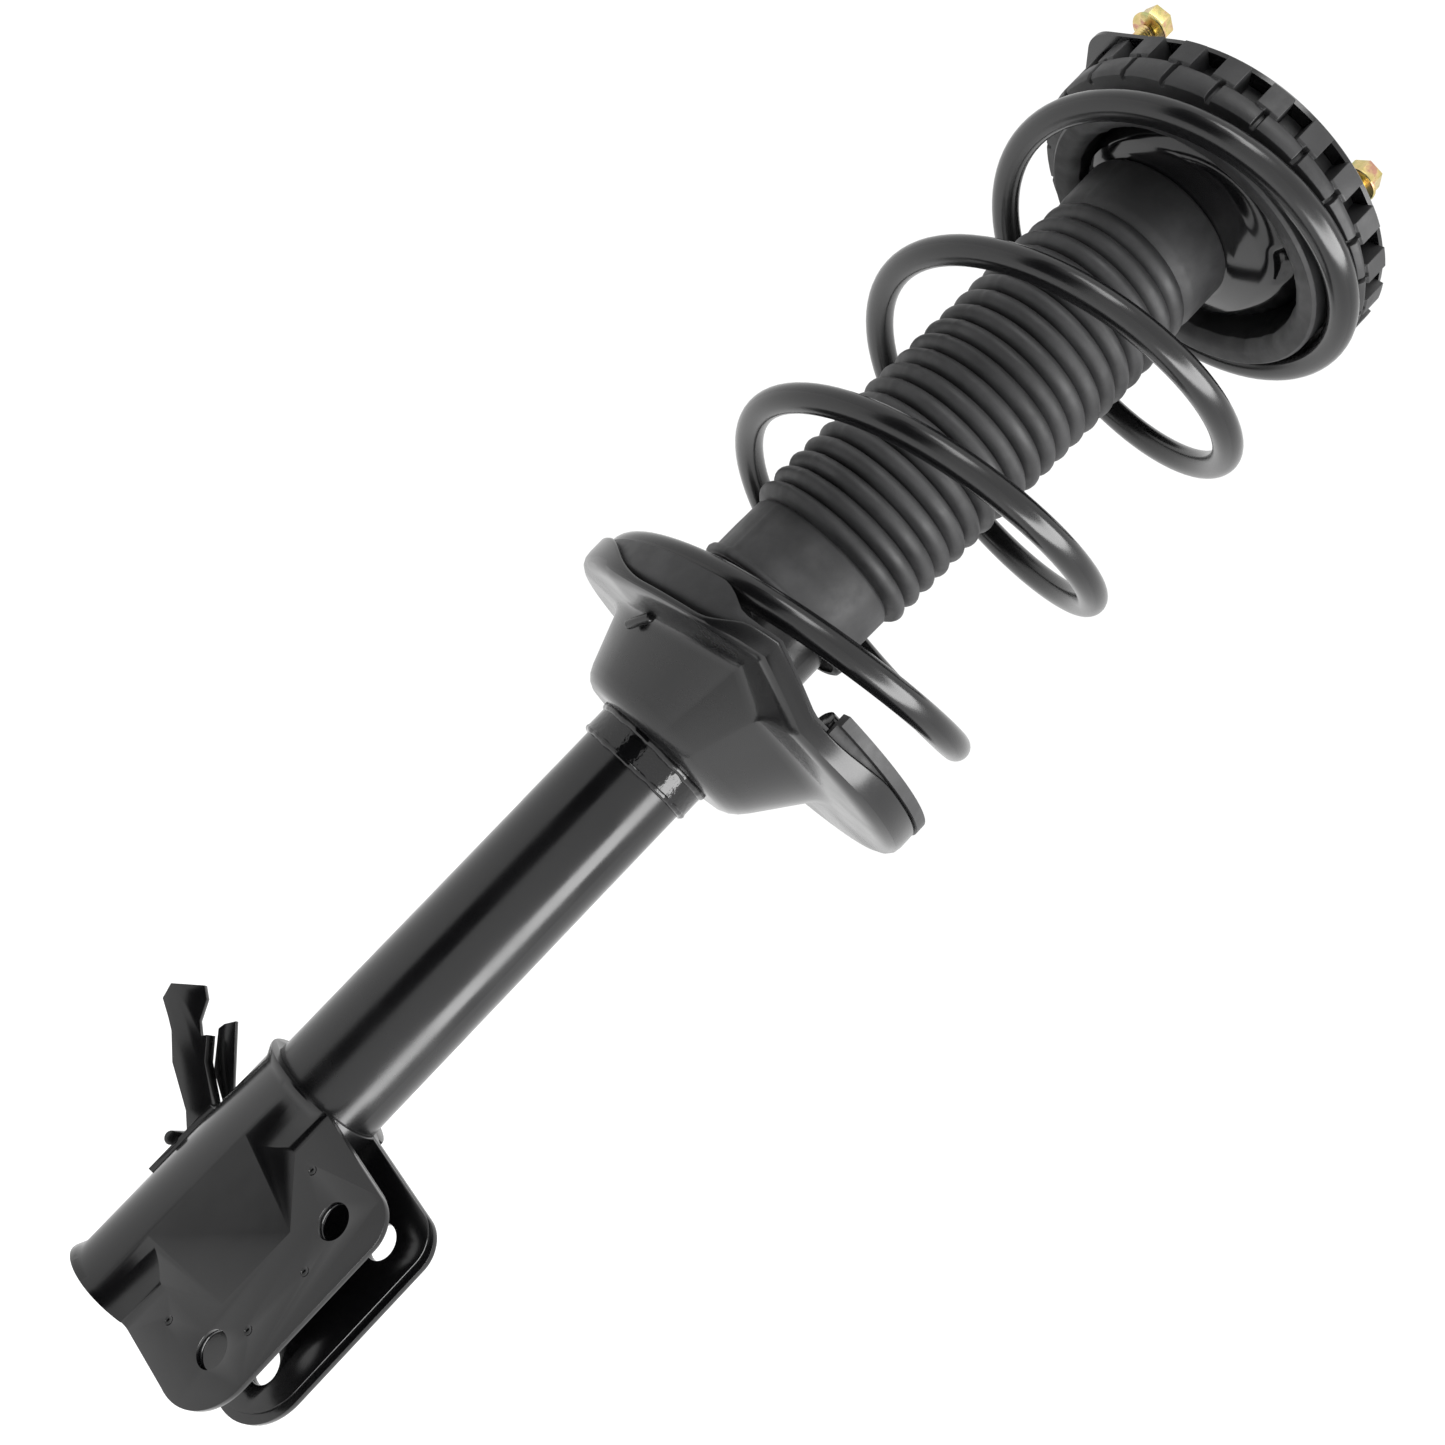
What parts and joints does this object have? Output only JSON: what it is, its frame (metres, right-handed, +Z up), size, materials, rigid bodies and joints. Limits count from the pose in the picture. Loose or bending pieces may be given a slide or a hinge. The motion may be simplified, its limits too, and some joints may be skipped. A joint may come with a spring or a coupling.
{
  "type": "suspension strut assembly",
  "caption": "Damper strut with offset coil spring, dust boot, rubber top mount, deep-drawn spring seat and a clevis bracket for the knuckle.",
  "frame": {"origin": "top face of the top mount's plate, on the damper's axis", "axes": "+Z up along the damper rod, +X from the damper's axis towards the free edges of the knuckle bracket's ears, which is also the side that the spring is offset to; Y along the knuckle bolts"},
  "size_m": [0.1799, 0.1752, 0.6738],
  "materials": {
    "black_paint": "semi-gloss black baked paint",
    "bracket_paint": "semi-gloss black dip primer",
    "spring_paint": "gloss black powder coat over steel wire",
    "yellow_zinc": "yellow chromate over zinc, slightly iridescent",
    "plain_zinc": "clear zinc plate",
    "chromed_rod": "hard chrome, ground and polished",
    "sheet_steel": "drawn steel, oiled",
    "sintered_iron": "sintered iron",
    "bush_bronze": "bronze lined bush",
    "piston_band": "filled PTFE band",
    "boot_rubber": "matte black moulded rubber",
    "mount_rubber": "matte black rubber bonded to steel",
    "isolator_rubber": "matte dark grey moulded rubber",
    "bump_foam": "cellular polyurethane"
  },
  "bodies": {
    "top_mount": {"top_plate": "black_paint", "mount_studs": "yellow_zinc", "stud_nuts": "yellow_zinc", "mount_cup": "black_paint", "mount_rubber": "mount_rubber", "upper_isolator": "isolator_rubber", "dust_boot": "boot_rubber"},
    "piston_rod": {"piston_rod": "chromed_rod", "mount_sleeve": "plain_zinc", "shoulder_washer": "plain_zinc", "rod_washer": "plain_zinc", "rod_nut": "plain_zinc", "bump_stop": "bump_foam", "bump_stop_cup": "sheet_steel", "rebound_stop": "mount_rubber", "piston": "sintered_iron", "piston_band": "piston_band", "piston_shims": "sheet_steel", "piston_nut": "sheet_steel"},
    "strut_housing": {"strut_tube": "black_paint", "base_cap": "black_paint", "base_valve": "sintered_iron", "pressure_tube": "sheet_steel", "rod_guide": "sintered_iron", "guide_bush": "bush_bronze", "rod_seal": "mount_rubber", "tube_cap": "black_paint", "knuckle_bracket": "bracket_paint", "bracket_brace": "bracket_paint", "hose_bracket": "black_paint", "wire_tab": "black_paint", "seat_collar": "black_paint", "seat_bucket": "black_paint", "spring_pan": "black_paint", "lower_insulator": "isolator_rubber", "coil_spring": "spring_paint"}
  },
  "joints": [
    {"name": "mount_twist", "type": "hinge", "parent": "top_mount", "child": "piston_rod", "pos_m": [0, 0, 0], "axis": [0, 0, 1], "range_deg": [-5, 5], "stiffness_Nm_per_rad": 40},
    {"name": "strut_travel", "type": "slide", "parent": "piston_rod", "child": "strut_housing", "axis": [0, 0, 1], "range_m": [0, 0.11], "stiffness_N_per_m": 18000, "springref_m": -0.02, "deforming": ["coil_spring", "dust_boot"]}
  ]
}
